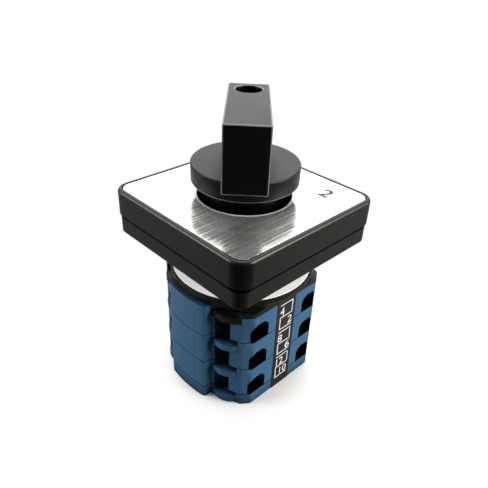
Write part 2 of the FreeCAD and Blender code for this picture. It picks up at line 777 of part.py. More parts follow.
def make_shaft():
    """Square shaft with a round journal below and a screw hole in its upper end."""
    body = new_body("shaft")
    journal = new_sketch(body, "shaft_journal_circle", offset="journal_base + square_clearance")
    circle(journal, "0", "0", "journal_radius")
    pad(body, journal, "shaft_journal", "journal_length")
    square = new_sketch(body, "shaft_square_outline", offset="end_cover_height + square_clearance")
    box_outline(square, "-shaft_half", "-shaft_half", "shaft_half", "shaft_half")
    pad(body, square, "shaft_bar", "shaft_top - end_cover_height - square_clearance")
    hole = new_sketch(body, "shaft_hole_circle", offset="shaft_top - handle_screw_length")
    circle(hole, "0", "0", "shaft_screw_bore")
    pocket(body, hole, "shaft_screw_hole", "handle_screw_length")
    turn_with_handle(body, 1)
    return body


def make_detent_wheel():
    """Eight-notch wheel with a stop lug and a long bearing hub, all on the square shaft."""
    body = new_body("detent_wheel")
    wheel = new_sketch(body, "wheel_circle")
    circle(wheel, "0", "0", "detent_radius")
    pad(body, wheel, "wheel_disc", "detent_thick")
    hub = new_sketch(body, "wheel_hub_circle")
    circle(hub, "0", "0", "detent_hub")
    pad(body, hub, "wheel_hub", "hub_length")
    notch = new_sketch(body, "wheel_notch_circle")
    circle(notch, "detent_notch_reach", "0", "detent_notch")
    cut = pocket(body, notch, "wheel_notch", "detent_thick")
    pattern = body.newObject("PartDesign::PolarPattern", "wheel_notches")
    pattern.Originals = [cut]
    axis = next(part for part in body.Origin.OriginFeatures if part.Role == "Z_Axis")
    pattern.Axis = (axis, [""])
    pattern.Angle = 360.0
    pattern.Occurrences = NOTCHES
    body.Tip = pattern
    doc.recompute()
    lug = new_sketch(body, "wheel_lug_outline")
    box_outline(lug, "-stop_lug_reach", "-stop_lug_half", "-detent_hub", "stop_lug_half")
    pad(body, lug, "wheel_lug", "detent_thick")
    socket = new_sketch(body, "wheel_socket_square")
    box_outline(socket, "-socket_half", "-socket_half", "socket_half", "socket_half")
    pocket(body, socket, "wheel_socket", "hub_length")
    turn_with_handle(body, 1)
    place_at(body, "wheel_base")
    return body


def make_plunger(label, deck, sign, reach):
    """Cam follower with a round nose and a window that holds the contact bridge."""
    body = new_body(label)
    side = new_sketch(body, label + "_outline")
    outline(side, [
        ("-plunger_half", "nose_rise"), ("plunger_half", "nose_rise"),
        ("plunger_half", "plunger_length"), ("-plunger_half", "plunger_length"),
    ], {0: "nose_radius"})
    pad(body, side, label + "_bar", "plunger_height")
    window = new_sketch(body, label + "_window", "YZ_Plane", "-plunger_half")
    box_outline(window, "window_near", "window_low", "window_far", "window_high")
    pocket(body, window, label + "_window_cut", "2 * plunger_half")
    seat(body, deck, sign, reach, "slot_floor")
    return body


def make_bridge(label, deck, sign, reach):
    """Contact bridge: flat bar with a round contact tip at each end."""
    body = new_body(label)
    bar = new_sketch(body, label + "_outline")
    box_outline(bar, "-bridge_half", "tip_thick", "bridge_half", "bridge_back")
    pad(body, bar, label + "_bar", "bridge_height")
    tips = new_sketch(body, label + "_tips", "XZ_Plane")
    circle(tips, "tip_x", "bridge_middle", "tip_radius")
    circle(tips, "-tip_x", "bridge_middle", "tip_radius")
    pad(body, tips, label + "_tip_discs", "tip_thick", True)
    seat(body, deck, sign, reach, "bridge_base")
    return body


def seat(body, deck, sign, reach, height):
    """Turn a contact piece to its side of the shaft and put it in its deck."""
    turn = 0 if sign == "" else 180
    body.Placement = FreeCAD.Placement(vector(0, 0, 0), FreeCAD.Rotation(vector(0, 0, 1), turn))
    body.setExpression(".Placement.Base.y", bind(reach) if sign == "" else "-1 * ( " + bind(reach) + " )")
    place_at(body, f"deck_{deck}_base + {height}")


def make_fixed_contact(label, deck, sign_x, sign_y):
    """Fixed contact: terminal plate, strip to the middle and a round contact tip."""
    body = new_body(label)
    plan = new_sketch(body, label + "_plan", offset="slot_floor + plunger_clearance")
    outline(plan, [
        (sign_x + "fixed_inner_x", sign_y + "fixed_inner_y"),
        (sign_x + "terminal_plate_x", sign_y + "fixed_inner_y"),
        (sign_x + "terminal_plate_x", sign_y + "plate_near_y"),
        (sign_x + "plate_back", sign_y + "plate_near_y"),
        (sign_x + "plate_back", sign_y + "plate_far_y"),
        (sign_x + "terminal_plate_x", sign_y + "plate_far_y"),
        (sign_x + "terminal_plate_x", sign_y + "fixed_face"),
        (sign_x + "fixed_inner_x", sign_y + "fixed_face"),
    ])
    pad(body, plan, label + "_strip", "plunger_height")
    outward = sign_y == ""
    tip = new_sketch(body, label + "_tip", "XZ_Plane", "-fixed_face" if outward else "fixed_face")
    circle(tip, sign_x + "tip_x", "contact_middle", "tip_radius")
    pad(body, tip, label + "_tip_disc", "tip_thick", outward)
    hole = new_sketch(body, label + "_hole", "YZ_Plane", sign_x + "mouth_inner_x")
    circle(hole, sign_y + "access_y", "screw_axis_height", "screw_bore")
    pocket(body, hole, label + "_screw_hole", "wire_space", sign_x == "")
    place_at(body, f"deck_{deck}_base")
    return body


def each_terminal():
    """Direction signs and deck base of the twelve terminals."""
    for deck in DECKS:
        for sign_x, sign_y in CORNERS:
            side_x = -1 if sign_x else 1
            side_y = -1 if sign_y else 1
            yield side_x, side_y, value(f"deck_{deck}_base")


def along_x(radius, length, side_x, side_y, base, start):
    """Round bar of a terminal, starting at a distance from the middle and running outwards."""
    foot = vector(side_x * start, side_y * value("access_y"), base + value("screw_axis_height"))
    return Part.makeCylinder(radius, length, foot, vector(side_x, 0, 0))


def make_terminal_screws():
    """Twelve terminal screws, reached through the arched openings."""
    tail = value("terminal_plate_x") - value("screw_tail")
    screws = []
    for side_x, side_y, base in each_terminal():
        shank = along_x(value("screw_radius"), value("head_x") - tail, side_x, side_y, base, tail)
        head_size = (value("screw_head_radius"), value("screw_head_thick"))
        head = along_x(*head_size, side_x, side_y, base, value("head_x"))
        screws.append(shank.fuse(head).removeSplitter())
    return solid_node("terminal_screws", Part.makeCompound(screws))


def make_terminal_clamps():
    """Twelve square clamp washers under the screws' heads."""
    side = value("clamp_side")
    thick = value("clamp_thick")
    clamps = []
    for side_x, side_y, base in each_terminal():
        low_x = value("clamp_x") if side_x > 0 else -value("clamp_x") - thick
        low_y = side_y * value("access_y") - side / 2
        low_z = base + value("screw_axis_height") - side / 2
        plate = Part.makeBox(thick, side, side, vector(low_x, low_y, low_z))
        hole = along_x(value("screw_bore"), thick, side_x, side_y, base, value("clamp_x"))
        clamps.append(plate.cut(hole))
    return solid_node("terminal_clamps", Part.makeCompound(clamps))


def make_tie_bolts():
    """Two long bolts from the end cover up into the housing."""
    bolts = []
    for side in (-1, 1):
        foot = vector(side * value("tie_x"), 0, 0)
        head = Part.makeCylinder(value("tie_head"), value("tie_head_thick"), foot)
        shank = Part.makeCylinder(value("tie_radius"), value("tie_top"), foot)
        bolts.append(head.fuse(shank).removeSplitter())
    return solid_node("tie_bolts", Part.makeCompound(bolts))


def make_housing_screws():
    """Four screws that hold the base plate on the housing's boss."""
    top = value("base_base") + value("base_height")
    length = value("base_height") + value("housing_screw_depth") - value("screw_tail")
    screws = []
    for side_x in (-1, 1):
        for side_y in (-1, 1):
            place = vector(side_x * value("screw_offset"), side_y * value("screw_offset"), top)
            head_height = value("housing_screw_head_height")
            head = Part.makeCylinder(value("housing_screw_head"), head_height, place, vector(0, 0, -1))
            shank = Part.makeCylinder(value("housing_screw_bore"), length, place, vector(0, 0, -1))
            screws.append(head.fuse(shank).removeSplitter())
    return solid_node("housing_screws", Part.makeCompound(screws))


def spiral_edge(start_angle, start_radius, end_radius):
    """Quarter turn of a spiral whose radius grows evenly with the angle."""
    points = []
    for step in range(SPIRAL_STEPS + 1):
        share = step / SPIRAL_STEPS
        angle = math.radians(start_angle + QUARTER_TURN * share)
        radius = start_radius + (end_radius - start_radius) * share
        points.append(vector(radius * math.cos(angle), radius * math.sin(angle)))
    curve = Part.BSplineCurve()
    curve.interpolate(points)
    return curve.toShape()


def round_edge(start_angle, radius):
    """Quarter turn of a circle about the shaft."""
    ends = [math.radians(start_angle + QUARTER_TURN * share) for share in (0, 0.5, 1)]
    return Part.Arc(*[vector(radius * math.cos(a), radius * math.sin(a)) for a in ends]).toShape()


def make_cam(deck):
    """Contact cam: two quarter spirals join a small and a large radius."""
    small, large = value("cam_small"), value("cam_large")
    edges = [
        round_edge(0, small), spiral_edge(QUARTER_TURN, small, large),
        round_edge(2 * QUARTER_TURN, large), spiral_edge(3 * QUARTER_TURN, large, small),
    ]
    disc = Part.Face(Part.Wire(edges)).extrude(vector(0, 0, value("cam_thick")))
    disc.translate(vector(0, 0, value("cam_base")))
    gap = value("square_clearance")
    hub = Part.makeCylinder(value("cam_hub"), value("deck_pitch") - 2 * gap, vector(0, 0, gap))
    half = value("socket_half")
    square = Part.makeBox(2 * half, 2 * half, value("deck_pitch"), vector(-half, -half, 0))
    square.rotate(vector(0, 0, 0), vector(0, 0, 1), value("handle_turn"))
    return solid_node(f"cam_{deck}", disc.fuse(hub).cut(square).removeSplitter(), f"deck_{deck}_base")


def make_contact_spring(label, deck, sign, reach):
    """Compression spring between the plunger's tail and the curved wall."""
    gap = value("spring_clearance")
    wire = value("spring_wire")
    start = reach + value("plunger_length") + gap + wire
    length = value("chamber_end_y") - gap - wire - start
    radius = value("spring_radius")
    corners = round(value("spring_turns") * COIL_SIDES)
    turn = 2 * math.pi / COIL_SIDES
    path = [
        vector(radius * math.cos(turn * step), radius * math.sin(turn * step), length * step / corners)
        for step in range(corners + 1)
    ]
    across = vector(wire, 0, 0)
    along = (path[1] - path[0]).normalize().cross(across)
    section = [path[0] + across * x + along * y for x, y in ((1, 1), (-1, 1), (-1, -1), (1, -1), (1, 1))]
    coil = Part.makePolygon(path).makePipeShell([Part.makePolygon(section)], True, False, MITRED)
    side = 1 if sign == "" else -1
    coil.rotate(vector(0, 0, 0), vector(1, 0, 0), -QUARTER_TURN * side)
    coil.translate(vector(0, side * start, value(f"deck_{deck}_base") + value("contact_middle")))
    return solid_node(label, coil)


def make_detent_springs():
    """Two leaf springs, each with a round nose that drops into a notch of the wheel."""
    height = value("detent_thick")
    reach = value("detent_spring_reach")
    half = value("detent_spring_half")
    springs = []
    for angle in (-45, 45):
        leaf = Part.makeBox(value("detent_spring_thick"), 2 * half, height, vector(reach, -half, 0))
        nose = Part.makeCylinder(value("detent_nose"), height, vector(value("detent_notch_reach"), 0, 0))
        spring = leaf.fuse(nose).removeSplitter()
        spring.rotate(vector(0, 0, 0), vector(0, 0, 1), angle)
        springs.append(spring)
    return solid_node("detent_springs", Part.makeCompound(springs), "wheel_base")


def make_handle_screw():
    """Screw that draws the handle onto the shaft, and its washer."""
    seat_height = value("bezel_top") + value("handle_floor") + value("washer_thick")
    place = vector(0, 0, seat_height)
    head = Part.makeCylinder(value("handle_screw_head"), value("handle_screw_head_height"), place)
    length = value("handle_screw_length")
    shank = Part.makeCylinder(value("handle_screw_radius"), length, place, vector(0, 0, -1))
    screw = solid_node("handle_screw", head.fuse(shank).removeSplitter())
    foot = vector(0, 0, value("bezel_top") + value("handle_floor"))
    disc = Part.makeCylinder(value("washer_radius"), value("washer_thick"), foot)
    hole = Part.makeCylinder(value("handle_screw_bore"), value("washer_thick"), foot)
    return [screw, solid_node("handle_washer", disc.cut(hole))]


def make_contact_set(deck):
    """The moving and fixed contacts of one deck, numbered as its terminals are."""
    pieces = []
    first = 4 * deck - 3
    for pair, sign, closed in ((first, "", True), (first + 2, "-", False)):
        name = f"{pair}_{pair + 1}"
        travel = "0" if closed else "cam_stroke"
        pieces.append(make_plunger(f"plunger_{name}", deck, sign, f"plunger_closed + {travel}"))
        pieces.append(make_bridge(f"contact_bridge_{name}", deck, sign, f"bridge_closed + {travel}"))
        reach = value("plunger_closed") + value(travel)
        pieces.append(make_contact_spring(f"contact_spring_{name}", deck, sign, reach))
        pieces.append(make_fixed_contact(f"fixed_contact_{pair}", deck, "-", sign))
        pieces.append(make_fixed_contact(f"fixed_contact_{pair + 1}", deck, "", sign))
    return pieces


NODES.append(make_end_cover())
for deck in DECKS:
    NODES.append(make_deck(deck))
    NODES.append(make_cam(deck))
    NODES.extend(make_contact_set(deck))
NODES.extend([
    make_housing(), make_rating_disc(), make_base_plate(), make_bezel(), make_nameplate(),
    make_marking_strip("marking_strip_even", ""), make_marking_strip("marking_strip_odd", "-"),
    make_handle(), make_shaft(), make_detent_wheel(), make_detent_springs(),
    make_terminal_screws(), make_terminal_clamps(), make_tie_bolts(), make_housing_screws(),
])
NODES.extend(make_handle_screw())

doc.recompute()

failed = [item.Name for item in doc.Objects if "Invalid" in item.State or "Error" in item.State]
if failed:
    raise RuntimeError("features failed: " + ", ".join(failed))

os.makedirs("parts", exist_ok=True)
for node in NODES:
    shape = node.Shape
    if shape.isNull() or not shape.isValid():
        raise RuntimeError(f"{node.Label} has no valid shape")
    shape.exportStep(f"parts/{node.Label}.step")
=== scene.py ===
import json
import math

import bmesh
import bpy
from mathutils import Matrix, Vector


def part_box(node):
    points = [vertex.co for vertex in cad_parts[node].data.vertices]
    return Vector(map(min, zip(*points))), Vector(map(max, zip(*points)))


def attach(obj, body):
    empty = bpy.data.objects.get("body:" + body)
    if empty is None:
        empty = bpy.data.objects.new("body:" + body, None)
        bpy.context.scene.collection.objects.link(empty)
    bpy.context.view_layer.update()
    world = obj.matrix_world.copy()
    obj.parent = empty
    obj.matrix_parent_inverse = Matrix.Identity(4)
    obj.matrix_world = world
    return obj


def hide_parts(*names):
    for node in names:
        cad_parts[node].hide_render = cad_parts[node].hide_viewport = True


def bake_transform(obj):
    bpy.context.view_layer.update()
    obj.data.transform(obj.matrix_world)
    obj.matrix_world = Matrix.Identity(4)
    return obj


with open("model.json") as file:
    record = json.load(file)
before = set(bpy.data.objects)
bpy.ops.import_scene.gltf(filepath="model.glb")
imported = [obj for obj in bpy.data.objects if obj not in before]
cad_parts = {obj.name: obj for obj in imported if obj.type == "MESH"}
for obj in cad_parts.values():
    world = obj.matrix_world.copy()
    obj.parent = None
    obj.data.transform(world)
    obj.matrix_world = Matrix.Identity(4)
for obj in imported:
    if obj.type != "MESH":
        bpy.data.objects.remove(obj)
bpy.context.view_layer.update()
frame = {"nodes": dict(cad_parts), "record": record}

bl_info = {
    "name": "Rotary Cam Switch",
    "version": (1, 0, 0),
    "blender": (4, 5, 0),
    "location": "View3D > Sidebar > Cam Switch",
    "description": "Finishes, edge radii, print and springs of a panel-mounted rotary cam switch",
    "category": "Add Mesh",
}

MM = 0.001
BODY = "switch_body"
ROTOR = "rotor"
DECKS = ("deck_1", "deck_2", "deck_3")
CONTACT_PAIRS = ((1, 2), (3, 4), (5, 6), (7, 8), (9, 10), (11, 12))

# Places on the part, in mm of the shared frame
DISC_TOP_MM = 84.4             # height of the upper face of the handle's disc
HIGHLIGHT_RING_FROM_MM = 17.0             # the painted highlight ring round the nameplate's hole ends between these two radii
HIGHLIGHT_RING_TO_MM = 17.15
RIM_DEPTH_MM = 1.7             # depth of the painted shade, in black, on the upper rim of deck 1
SHELF_DEPTH_MM = 4.5           # depth of the painted shade on its shelves
SHELF_FROM_MM = 18.9           # the shelves start this far along Y
CHANNEL_HALF_MM = 9.9          # the strip's channel, without the painted shade, reaches this far along X
# Each position number on the nameplate, with its middle along X and Y
POSITIONS_MM = (("1", -18.6, 21.1), ("0", 0.0, 25.0), ("2", 18.6, 21.1))
# Heights of the strips' three lines beside each deck, from deck 1 down
STRIP_LINES_MM = ((39.25, 33.75, 28.4), (26.75, 21.4, 16.5), (14.75, 9.75, 4.5))
STRIP_REACH_MM = 3.0           # from a strip's middle to its side lines
ONE_DIGIT_MM = 2.3             # widths of the terminal numbers
TWO_DIGITS_MM = 3.6
FIGURE_WIDTHS_MM = {1: 0.9, 11: 2.4}    # the two that are narrower
ONE_DIGIT_INSET_MM = 0.8       # from a side line to the middle of its number
TWO_DIGITS_INSET_MM = 1.9
NUMBER_DROP_MM = 0.2           # the numbers stand this far below the middle of their box
# Terminal numbers of deck 1 by side (1 is +X) and by hand (1 is the upper one); each deck adds 4
TERMINALS = {(1, 1): 4, (1, -1): 2, (-1, 1): 1, (-1, -1): 3}


def linear(hex_colour):
    """sRGB hex such as #3F6690 as linear red, green, blue and alpha."""
    values = [int(hex_colour[place:place + 2], 16) / 255 for place in (1, 3, 5)]
    return [v / 12.92 if v <= 0.04045 else ((v + 0.055) / 1.055) ** 2.4 for v in values] + [1.0]


# Sizes and colours that a user would change

class SwitchSettings(bpy.types.PropertyGroup):
    """Sizes and colours of the switch's finish."""

    handle_edge: bpy.props.FloatProperty(
        name="Handle Edge", description="Edge radius of the handle",
        default=0.35 * MM, min=0.0, unit="LENGTH")
    frame_edge: bpy.props.FloatProperty(
        name="Frame Edge", description="Edge radius of the bezel and the base plate",
        default=0.15 * MM, min=0.0, unit="LENGTH")
    deck_edge: bpy.props.FloatProperty(
        name="Deck Edge", description="Edge radius of the housing, the decks and the end cover",
        default=0.22 * MM, min=0.0, unit="LENGTH")
    sheet_edge: bpy.props.FloatProperty(
        name="Sheet Edge", description="Edge break of the nameplate, half of it on the disc",
        default=0.12 * MM, min=0.0, unit="LENGTH")
    plate_figure: bpy.props.FloatProperty(
        name="Plate Figure", description="Height of the position numbers on the nameplate",
        default=6.0 * MM, min=0.0, unit="LENGTH")
    strip_figure: bpy.props.FloatProperty(
        name="Strip Figure", description="Height of the terminal numbers on the strips",
        default=3.4 * MM, min=0.0, unit="LENGTH")
    line_width: bpy.props.FloatProperty(
        name="Line Width", description="Width of the printed lines on the strips",
        default=0.42 * MM, min=0.0, unit="LENGTH")
    print_height: bpy.props.FloatProperty(
        name="Print Height", description="How far the print stands on its sheet",
        default=0.03 * MM, min=0.0, unit="LENGTH")
    spring_turns: bpy.props.IntProperty(
        name="Spring Turns", description="Turns of each contact spring",
        default=6, min=2)
    joint_line: bpy.props.FloatProperty(
        name="Joint Line", description="Width of the dark line where two mouldings meet",
        default=0.3 * MM, min=0.0, unit="LENGTH")
    screw_head: bpy.props.FloatProperty(
        name="Screw Head", description="Radius of the terminal screws' heads",
        default=3.1 * MM, min=0.0, unit="LENGTH")
    recess_depth: bpy.props.FloatProperty(
        name="Recess Depth", description="Depth of the cross recess in the terminal screws",
        default=1.3 * MM, min=0.0, unit="LENGTH")
    blue: bpy.props.FloatVectorProperty(
        name="Blue Nylon", description="Colour of the contact decks and the end cover",
        subtype="COLOR", size=4, default=linear("#38688E"))
    black: bpy.props.FloatVectorProperty(
        name="Black ABS", description="Colour of the bezel, the base plate and the housing",
        subtype="COLOR", size=4, default=linear("#0B100C"))
    handle_black: bpy.props.FloatVectorProperty(
        name="Handle Black", description="Colour of the handle",
        subtype="COLOR", size=4, default=linear("#060706"))
    paint_white: bpy.props.FloatVectorProperty(
        name="Print White", description="Colour of the terminal numbers and lines",
        subtype="COLOR", size=4, default=linear("#F6F7F2"))


def settings():
    return bpy.context.scene.cam_switch


# Node helpers, for materials and geometry alike

MIX_FIRST, MIX_SECOND, MIX_RESULT = 6, 7, 2    # the colour sockets of a Mix node


def add(tree, kind, inputs=None, **fields):
    """Add a node. fields sets its properties or named inputs.

    inputs gives an input, by name or number, a value, a socket or a node's first output.
    """
    node = tree.nodes.new(kind)
    for name, value in fields.items():
        if hasattr(node, name):
            setattr(node, name, value)
        else:
            node.inputs[name.replace("_", " ")].default_value = value
    for place, value in (inputs or {}).items():
        if isinstance(value, bpy.types.Node):
            value = value.outputs[0]
        if isinstance(value, bpy.types.NodeSocket):
            tree.links.new(value, node.inputs[place])
        else:
            node.inputs[place].default_value = value
    return node


def cleared(owner):
    """Empty node tree of a new material or world."""
    owner.use_nodes = True
    owner.node_tree.nodes.clear()
    return owner.node_tree


def surface(name, **sockets):
    """New material with its shader and its Object coordinates; sockets go on the shader itself."""
    material = bpy.data.materials.new(name)
    tree = cleared(material)
    shader = add(tree, "ShaderNodeBsdfPrincipled")
    for socket, value in sockets.items():
        shader.inputs[socket.replace("_", " ")].default_value = value
    add(tree, "ShaderNodeOutputMaterial", {"Surface": shader})
    place = add(tree, "ShaderNodeTexCoord").outputs["Object"]
    return material, shader, place


def parts_of(material):
    """Tree, shader, Object coordinates and output of a material that surface() made."""
    nodes = material.node_tree.nodes
    return (material.node_tree, nodes["Principled BSDF"],
            nodes["Texture Coordinate"].outputs["Object"],
            nodes["Material Output"].inputs["Surface"])


def scaled(colour, factor):
    return [channel * factor for channel in colour[:3]] + [1.0]


# Materials

def moulded(name, colour, roughness, grain_mm, depth_mm, spread=0.12, **sockets):
    """Moulded thermoplastic: fine spark-eroded grain, faint clouding and uneven gloss.

    The real grain, below a tenth of a millimetre, is too fine to show and is drawn coarser.
    """
    material, shader, place = surface(name, **sockets)
    tree = material.node_tree
    cloud_mm = 9.0
    gloss_swing = 0.05
    grain = add(tree, "ShaderNodeTexNoise", {"Vector": place},
                Scale=1 / (grain_mm * MM), Detail=3.0)
    cloud = add(tree, "ShaderNodeTexNoise", {"Vector": place},
                Scale=1 / (cloud_mm * MM), Detail=2.0)
    tone = add(tree, "ShaderNodeMix", data_type="RGBA", inputs={
        0: cloud, MIX_FIRST: scaled(colour, 1 - spread), MIX_SECOND: scaled(colour, 1 + spread)})
    tree.links.new(tone.outputs[MIX_RESULT], shader.inputs["Base Color"])
    gloss = add(tree, "ShaderNodeMapRange", {"Value": cloud},
                To_Min=roughness - gloss_swing, To_Max=roughness + gloss_swing)
    tree.links.new(gloss.outputs[0], shader.inputs["Roughness"])
    bump = add(tree, "ShaderNodeBump", {"Height": grain}, Strength=0.35, Distance=depth_mm * MM)
    tree.links.new(bump.outputs[0], shader.inputs["Normal"])
    return material


def shaded_hollows(material, reach_mm, darkest):
    """Painted shade: darken a plastic's colour and its sheen where it lies deep in its own
    hollows.
    """
    tree, shader, _, _ = parts_of(material)
    base = shader.inputs["Base Color"]
    full_sheen = 0.5
    hollow = add(tree, "ShaderNodeAmbientOcclusion", samples=6, only_local=False,
                 Distance=reach_mm * MM)
    share = add(tree, "ShaderNodeMapRange", {"Value": hollow.outputs["AO"]}, From_Min=0.35,
                From_Max=0.85, To_Min=darkest, To_Max=1.0, interpolation_type="SMOOTHSTEP")
    shaded = add(tree, "ShaderNodeVectorMath", {0: base.links[0].from_socket, 1: share},
                 operation="MULTIPLY")
    tree.links.new(shaded.outputs[0], base)
    sheen = add(tree, "ShaderNodeMath", {0: share, 1: full_sheen}, operation="MULTIPLY")
    tree.links.new(sheen.outputs[0], shader.inputs["Specular IOR Level"])


def duller_below(material, top, share):
    """Painted shade: take part of the sheen off below a height, so that the disc's side shows
    darker than its top.
    """
    tree, shader, place, _ = parts_of(material)
    level = shader.inputs["Specular IOR Level"]
    height = add(tree, "ShaderNodeSeparateXYZ", {0: place}).outputs["Z"]
    sheen = add(tree, "ShaderNodeMapRange", {"Value": height},
                From_Min=top - 0.4 * MM, From_Max=top - 0.2 * MM, To_Min=share, To_Max=1.0)
    both = add(tree, "ShaderNodeMath", {0: level.links[0].from_socket, 1: sheen},
               operation="MULTIPLY")
    tree.links.new(both.outputs[0], level)


def joint_lines(material, first, pitch, highest, width):
    """Black lines where mouldings meet, from the lowest joint up, one to each pitch."""
    tree, shader, place, output = parts_of(material)
    height = add(tree, "ShaderNodeSeparateXYZ", {0: place}).outputs["Z"]
    above = add(tree, "ShaderNodeMath", {0: height, 1: first}, operation="SUBTRACT")
    away = add(tree, "ShaderNodeMath", {0: above, 1: pitch / 2}, operation="PINGPONG")
    line = add(tree, "ShaderNodeMapRange", {"Value": away},
               From_Min=width * 0.3, From_Max=width * 0.7, To_Min=1.0, To_Max=0.0)
    below = add(tree, "ShaderNodeMath", {0: height, 1: highest}, operation="LESS_THAN")
    share = add(tree, "ShaderNodeMath", {0: line, 1: below}, operation="MULTIPLY")
    black = add(tree, "ShaderNodeBsdfDiffuse", Color=linear("#050607"))
    mixed = add(tree, "ShaderNodeMixShader", {0: share, 1: shader, 2: black})
    tree.links.new(mixed.outputs[0], output)


def black_rim(material, top):
    """Painted shade: black over the upper rim and shelves of deck 1, which lie in shade under the
    base plate.
    """
    tree, _, place, output = parts_of(material)
    plain = output.links[0].from_socket
    away = add(tree, "ShaderNodeVectorMath", {0: place}, operation="ABSOLUTE")
    part = add(tree, "ShaderNodeSeparateXYZ", {0: away})
    at_shelves, outside, at_rim, beside = (
        add(tree, "ShaderNodeMath", {0: part.outputs[axis], 1: limit}, operation="GREATER_THAN")
        for axis, limit in (("Z", top - SHELF_DEPTH_MM * MM), ("Y", SHELF_FROM_MM * MM),
                            ("Z", top - RIM_DEPTH_MM * MM), ("X", CHANNEL_HALF_MM * MM)))
    shelves = add(tree, "ShaderNodeMath", {0: at_shelves, 1: outside}, operation="MULTIPLY")
    either = add(tree, "ShaderNodeMath", {0: at_rim, 1: shelves}, operation="MAXIMUM")
    share = add(tree, "ShaderNodeMath", {0: beside, 1: either}, operation="MULTIPLY")
    black = add(tree, "ShaderNodeBsdfPrincipled",
                Base_Color=settings().black, Roughness=0.4, IOR=1.45)
    mixed = add(tree, "ShaderNodeMixShader", {0: share, 1: plain, 2: black})
    tree.links.new(mixed.outputs[0], output)


def blue_nylon():
    """Glass-filled nylon, moulded: satin clouds, painted shade in its hollows and on deck 1's
    upper rim and shelves, and thin joints between decks.
    """
    material = moulded("glass_filled_nylon_blue", settings().blue, roughness=0.38,
                       grain_mm=0.25, depth_mm=0.02, IOR=1.53)
    # painted shade in the decks' hollows and under the base plate
    shaded_hollows(material, reach_mm=10.0, darkest=0.2)
    first, second, top = (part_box(node)[1].z for node in ("end_cover", "deck_3", "deck_1"))
    joint_lines(material, first, pitch=second - first, highest=top - 1 * MM,
                width=settings().joint_line)
    # painted shade in black on deck 1's upper rim and shelves
    black_rim(material, top)
    return material


def black_abs():
    """Moulded ABS, fine matt grain: grey sheen towards the light, black gap below the bezel."""
    material = moulded("moulded_abs_black", settings().black, roughness=0.36,
                       grain_mm=0.22, depth_mm=0.025, spread=0.10, IOR=1.45)
    line = settings().joint_line
    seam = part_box("base_plate")[1].z - 3 * line
    joint_lines(material, seam, pitch=seam, highest=seam + 1 * MM, width=4 * line)
    return material


def handle_abs():
    """Moulded ABS of the handle, a little coarser: its top goes grey under the light."""
    material = moulded("grained_abs_black", settings().handle_black, roughness=0.45,
                       grain_mm=0.55, depth_mm=0.10, IOR=1.43)
    # painted shade in the handle's hollows
    shaded_hollows(material, reach_mm=9.0, darkest=0.1)
    # painted shade on the side of the handle's disc
    duller_below(material, DISC_TOP_MM * MM, share=0.45)
    return material


def worn_edge():
    """Painted highlight: pale ABS on the handle's rounded edges, drawing thin lines of light along
    its outline.
    """
    return moulded("abs_edge_painted_highlight", linear("#6A6C6A"), roughness=0.3,
                   grain_mm=0.5, depth_mm=0.01, spread=0.25, IOR=1.53)


def black_vinyl():
    """Calendered vinyl of the marking strips: flatter and softer than the moulded parts."""
    return moulded("matt_vinyl_black", linear("#1B1C1A"), roughness=0.5,
                   grain_mm=0.4, depth_mm=0.01, spread=0.10, IOR=1.5)


def natural_nylon():
    """Natural nylon of cams and plungers: warm off-white and slightly see-through to the eye."""
    return moulded("natural_nylon", linear("#D8D2BE"), roughness=0.4,
                   grain_mm=0.4, depth_mm=0.01, spread=0.04, IOR=1.53,
                   Subsurface_Weight=0.1, Subsurface_Scale=0.5 * MM)


def screen_ink(name, colour):
    """Screen-printed ink: flat and slightly uneven, as a thin film over the sheet."""
    return moulded(name, colour, roughness=0.55, grain_mm=0.15, depth_mm=0.004, spread=0.10)


def silvered_film():
    """Silvered paper label with a painted glow: its emission keeps it pale under the base plate's
    shadow.
    """
    return moulded("silvered_paper_painted_glow", linear("#F0F0EE"), roughness=0.45,
                   grain_mm=0.3, depth_mm=0.003, spread=0.03,
                   # painted light: the label glows a little, standing for light that its shade
                   # keeps off
                   Emission_Color=linear("#F0F0EE"), Emission_Strength=0.4)


def brushed(name, colour, roughness, stroke_mm, direction, depth_mm=0.004, contrast=0.08,
            spread=0.06):
    """Metal brushed along an axis: long fine strokes that stretch highlights across them.

    Real strokes, below a tenth of a millimetre, are too fine to show and are drawn wider.
    """
    material, shader, place = surface(name, Metallic=1.0)
    tree = material.node_tree
    stroke_lengths = 40
    stretch = [1 / (stroke_mm * MM)] * 3
    stretch[direction] = 1 / (stroke_lengths * stroke_mm * MM)
    mapped = add(tree, "ShaderNodeMapping", {"Vector": place}, Scale=stretch)
    noise = add(tree, "ShaderNodeTexNoise", {"Vector": mapped}, Scale=1.0, Detail=4.0)
    strokes = add(tree, "ShaderNodeMapRange", {"Value": noise}, From_Min=0.35, From_Max=0.65)
    tone = add(tree, "ShaderNodeMix", data_type="RGBA", inputs={
        0: strokes, MIX_FIRST: scaled(colour, 1 - contrast),
        MIX_SECOND: scaled(colour, 1 + contrast)})
    tree.links.new(tone.outputs[MIX_RESULT], shader.inputs["Base Color"])
    gloss = add(tree, "ShaderNodeMapRange", {"Value": strokes},
                To_Min=roughness - spread, To_Max=roughness + spread)
    tree.links.new(gloss.outputs[0], shader.inputs["Roughness"])
    bump = add(tree, "ShaderNodeBump", {"Height": strokes}, Strength=0.3, Distance=depth_mm * MM)
    tree.links.new(bump.outputs[0], shader.inputs["Normal"])
    return material


